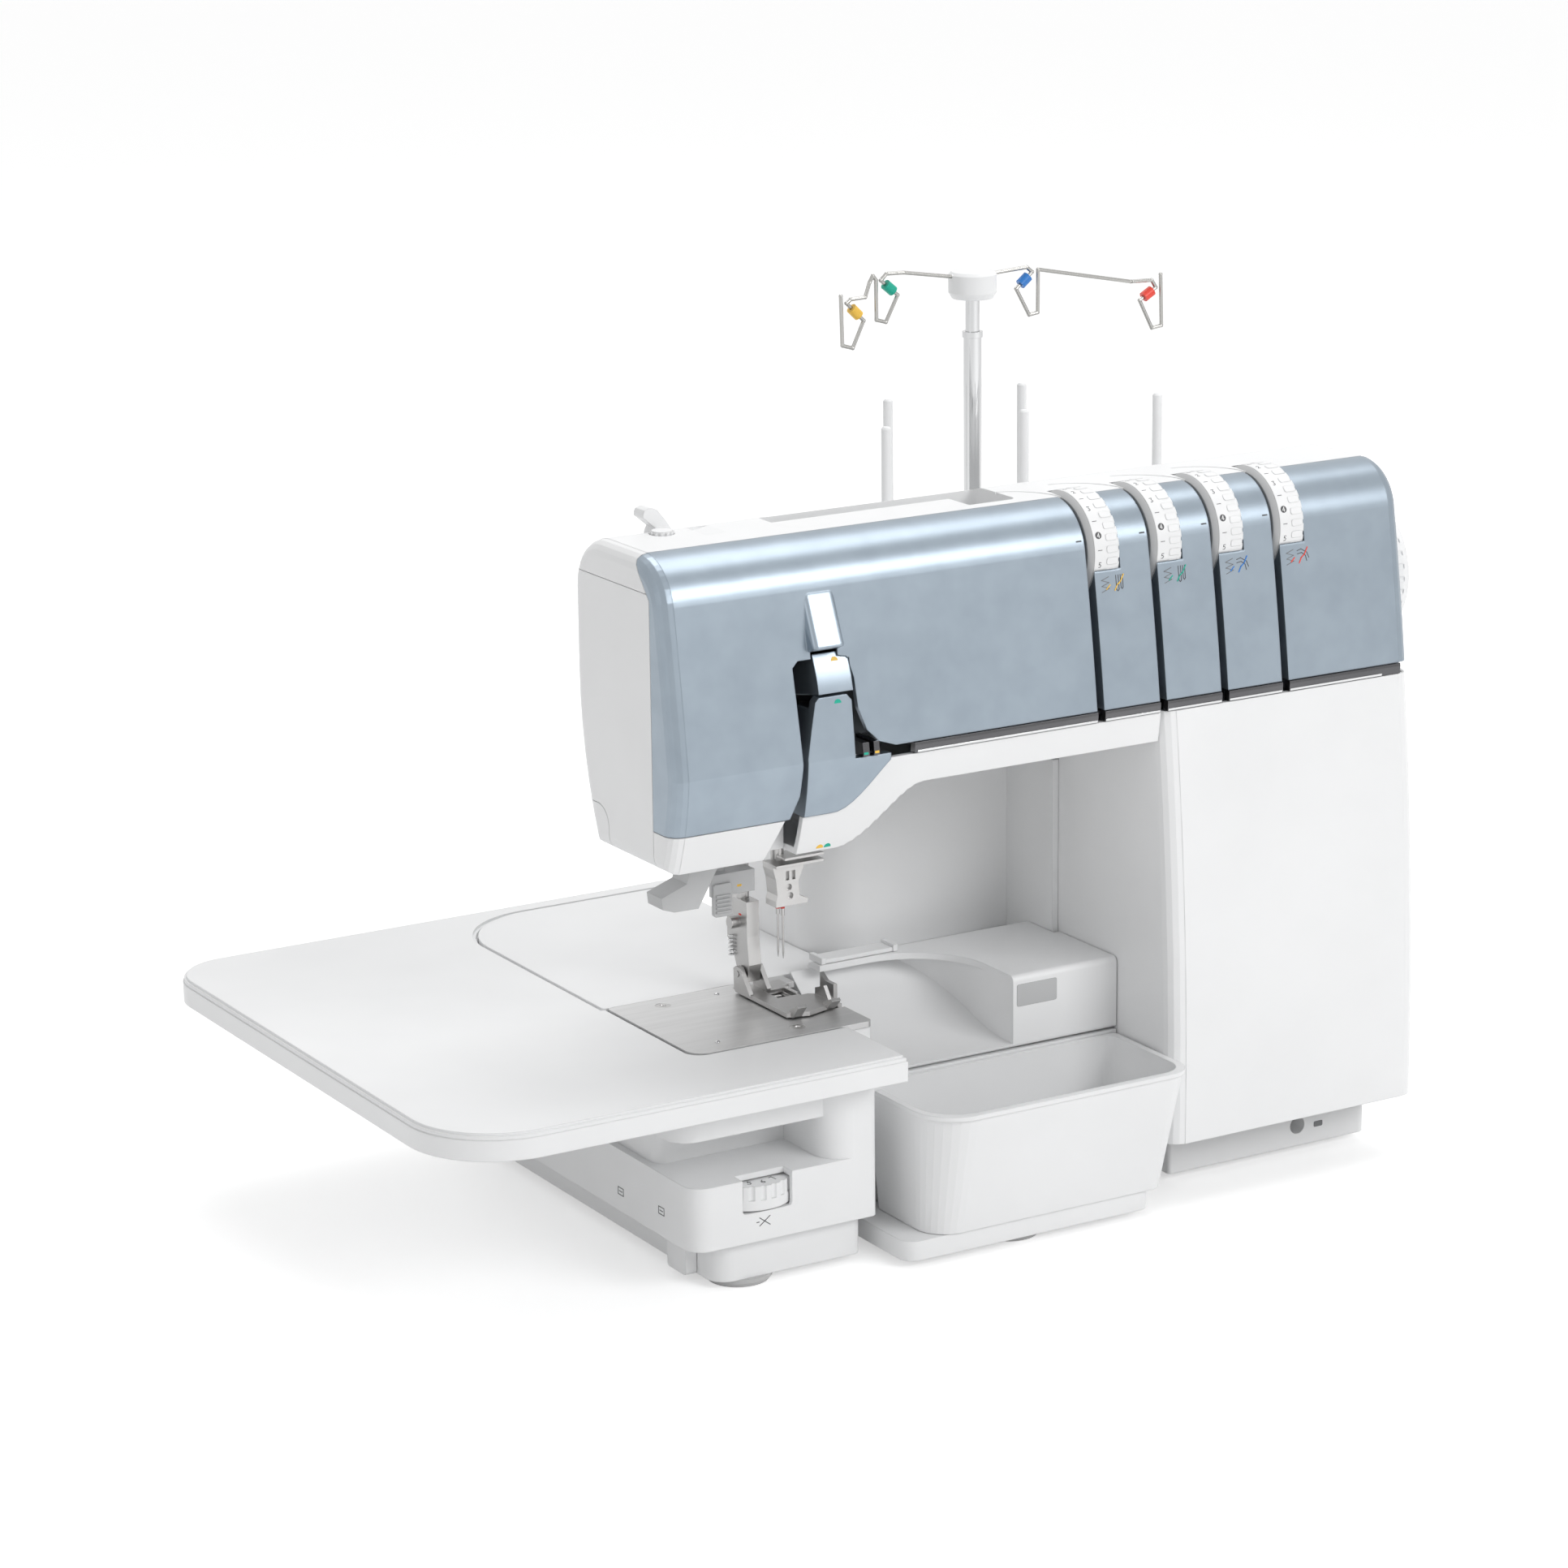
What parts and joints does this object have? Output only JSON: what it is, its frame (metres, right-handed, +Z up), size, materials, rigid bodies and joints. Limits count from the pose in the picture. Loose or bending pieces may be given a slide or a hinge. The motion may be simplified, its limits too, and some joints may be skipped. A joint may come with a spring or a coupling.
{
  "type": "serger overlock machine",
  "caption": "Serger with slide-off table, thread tension dials in a curved front cover, hinged looper cover, waste tray, looper and needle works, and telescopic thread stand.",
  "frame": {"origin": "on the ground plane under the middle of the whole machine's bounding box", "axes": "+X to the operator's right along the arm, +Y away from the operator, +Z up"},
  "size_m": [0.5716, 0.3339, 0.4477],
  "materials": {
    "white_plastic": "moulded, satin gloss",
    "blue_metallic": "metallic lacquer on moulded plastic",
    "satin_steel": "satin ground",
    "chrome": "polished",
    "cast_alloy": "as cast",
    "dark_plastic": "matte",
    "soft_rubber": "matte",
    "bead_plastic": "coloured threading beads"
  },
  "bodies": {
    "machine": {"base_pan": "white_plastic", "rubber_feet": "soft_rubber", "side_clip": "white_plastic", "base_casing": "white_plastic", "front_panel": "white_plastic", "bed_cover": "white_plastic", "needle_plate": "satin_steel", "lower_knife": "satin_steel", "arm_frame": "cast_alloy", "front_cover": "blue_metallic", "tension_cover_1": "blue_metallic", "tension_cover_2": "blue_metallic", "tension_cover_3": "blue_metallic", "tension_cover_4": "blue_metallic", "top_cover": "white_plastic", "carry_handle": "white_plastic", "rear_cover": "white_plastic", "head_side_cover": "white_plastic", "chin_cover": "white_plastic", "arm_floor": "white_plastic", "take_up_guard": "blue_metallic", "thread_guides": "satin_steel", "trim_strip": "chrome", "tower_casing": "white_plastic", "rear_casing": "white_plastic", "drive_motor": "cast_alloy", "socket_panel": "dark_plastic", "spool_platform": "white_plastic", "spool_pins": "white_plastic", "needle_threader": "white_plastic"},
    "slide_table": {"slide_table": "white_plastic"},
    "waste_tray": {"waste_tray": "white_plastic"},
    "looper_cover": {"looper_cover": "white_plastic"},
    "cover_slider": {"cover_slider": "white_plastic"},
    "width_dial": {"width_dial": "white_plastic"},
    "feed_dogs": {"feed_dogs": "satin_steel"},
    "upper_looper": {"upper_looper": "satin_steel"},
    "lower_looper": {"lower_looper": "satin_steel"},
    "upper_knife": {"upper_knife": "satin_steel"},
    "tension_dial_1": {"tension_dial_1": "white_plastic"},
    "tension_dial_2": {"tension_dial_2": "white_plastic"},
    "tension_dial_3": {"tension_dial_3": "white_plastic"},
    "tension_dial_4": {"tension_dial_4": "white_plastic"},
    "light_door": {"light_door": "white_plastic"},
    "take_up_lever": {"take_up_lever": "blue_metallic"},
    "pressure_dial": {"pressure_dial": "white_plastic"},
    "lifter_lever": {"lifter_lever": "white_plastic"},
    "handwheel": {"main_shaft": "satin_steel", "handwheel": "white_plastic"},
    "power_switch": {"power_switch": "dark_plastic"},
    "stitch_length_dial": {"stitch_length_dial": "white_plastic"},
    "differential_dial": {"differential_dial": "white_plastic"},
    "thread_stand": {"mast_tube": "chrome", "mast_rod": "chrome", "guide_arm": "chrome", "guide_beads": "bead_plastic"},
    "needle_bar": {"needle_bar": "satin_steel", "needles": "satin_steel"},
    "presser_bar": {"presser_bar": "satin_steel"},
    "presser_foot": {"presser_foot": "satin_steel"}
  },
  "joints": [
    {"name": "table_slide", "type": "slide", "parent": "machine", "child": "slide_table", "axis": [-1, 0, 0], "range_m": [0, 0.13]},
    {"name": "tray_slide", "type": "slide", "parent": "machine", "child": "waste_tray", "axis": [0, -1, 0], "range_m": [0, 0.06]},
    {"name": "looper_cover_hinge", "type": "hinge", "parent": "machine", "child": "looper_cover", "pos_m": [-0.09275, -0.09475, 0.084], "axis": [1, 0, 0], "range_deg": [0, 80]},
    {"name": "micro_slider", "type": "slide", "parent": "looper_cover", "child": "cover_slider", "axis": [1, 0, 0], "range_m": [-0.005, 0.005]},
    {"name": "width_dial_turn", "type": "hinge", "parent": "machine", "child": "width_dial", "pos_m": [-0.11125, -0.11325, 0.04], "axis": [0, 0, 1], "range_deg": [-60, 60]},
    {"name": "tension_turn_1", "type": "hinge", "parent": "machine", "child": "tension_dial_1", "pos_m": [0.08025, -0.09643, 0.329], "axis": [1, 0, 0], "range_deg": [-150, 150]},
    {"name": "tension_turn_2", "type": "hinge", "parent": "machine", "child": "tension_dial_2", "pos_m": [0.11685, -0.09643, 0.329], "axis": [1, 0, 0], "range_deg": [-150, 150]},
    {"name": "tension_turn_3", "type": "hinge", "parent": "machine", "child": "tension_dial_3", "pos_m": [0.15345, -0.09643, 0.329], "axis": [1, 0, 0], "range_deg": [-150, 150]},
    {"name": "tension_turn_4", "type": "hinge", "parent": "machine", "child": "tension_dial_4", "pos_m": [0.19005, -0.09643, 0.329], "axis": [1, 0, 0], "range_deg": [-150, 150]},
    {"name": "light_door_hinge", "type": "hinge", "parent": "machine", "child": "light_door", "pos_m": [-0.15675, -0.06885, 0.22], "axis": [0, 0, 1], "range_deg": [0, 60]},
    {"name": "pressure_turn", "type": "hinge", "parent": "machine", "child": "pressure_dial", "pos_m": [-0.12375, -0.06575, 0.3545], "axis": [0, 0, 1], "range_deg": [-150, 150]},
    {"name": "release_lever_hinge", "type": "hinge", "parent": "machine", "child": "lifter_lever", "pos_m": [-0.11815, -0.05225, 0.3515], "axis": [0, 1, 0], "range_deg": [-4, 6], "stiffness_Nm_per_rad": 0.05},
    {"name": "handwheel_turn", "type": "hinge", "parent": "machine", "child": "handwheel", "pos_m": [0.26525, -0.06875, 0.29], "axis": [1, 0, 0], "continuous": true},
    {"name": "power_rocker", "type": "hinge", "parent": "machine", "child": "power_switch", "pos_m": [0.25625, 0.03725, 0.06], "axis": [0, 1, 0], "range_deg": [-8, 8]},
    {"name": "stitch_length_turn", "type": "hinge", "parent": "machine", "child": "stitch_length_dial", "pos_m": [0.26525, -0.08075, 0.096], "axis": [1, 0, 0], "range_deg": [-120, 120]},
    {"name": "differential_turn", "type": "hinge", "parent": "machine", "child": "differential_dial", "pos_m": [0.26525, -0.08075, 0.15], "axis": [1, 0, 0], "range_deg": [-120, 120]},
    {"name": "stand_telescope", "type": "slide", "parent": "machine", "child": "thread_stand", "axis": [0, 0, -1], "range_m": [0, 0.1]},
    {"name": "needle_stroke", "type": "slide", "parent": "machine", "child": "needle_bar", "axis": [0, 0, -1], "range_m": [0, 0.025]},
    {"name": "take_up_swing", "type": "hinge", "parent": "machine", "child": "take_up_lever", "pos_m": [-0.07275, -0.06675, 0.272], "axis": [1, 0, 0], "range_deg": [-18, 0]},
    {"name": "upper_looper_swing", "type": "hinge", "parent": "machine", "child": "upper_looper", "pos_m": [-0.03075, -0.04175, 0.05], "axis": [0, 1, 0], "range_deg": [0, 16]},
    {"name": "lower_looper_swing", "type": "hinge", "parent": "machine", "child": "lower_looper", "pos_m": [-0.03075, -0.05275, 0.05], "axis": [0, 1, 0], "range_deg": [-16, 0]},
    {"name": "knife_stroke", "type": "slide", "parent": "machine", "child": "upper_knife", "axis": [0, 0, -1], "range_m": [0, 0.006]},
    {"name": "feed_stroke", "type": "slide", "parent": "machine", "child": "feed_dogs", "axis": [0, 1, 0], "range_m": [0, 0.0032]},
    {"name": "presser_lift", "type": "slide", "parent": "machine", "child": "presser_bar", "axis": [0, 0, 1], "range_m": [0, 0.007]},
    {"name": "foot_tilt", "type": "hinge", "parent": "presser_bar", "child": "presser_foot", "pos_m": [-0.05975, -0.03075, 0.121], "axis": [-1, 0, 0], "range_deg": [0, 7]}
  ],
  "couplings": [
    {"joint": "take_up_swing", "follows": "needle_stroke", "rad_per_m": -11.868},
    {"joint": "upper_looper_swing", "follows": "needle_stroke", "rad_per_m": 10.821},
    {"joint": "lower_looper_swing", "follows": "needle_stroke", "rad_per_m": -10.821},
    {"joint": "knife_stroke", "follows": "needle_stroke", "ratio": 0.24},
    {"joint": "feed_stroke", "follows": "needle_stroke", "ratio": 0.128}
  ]
}
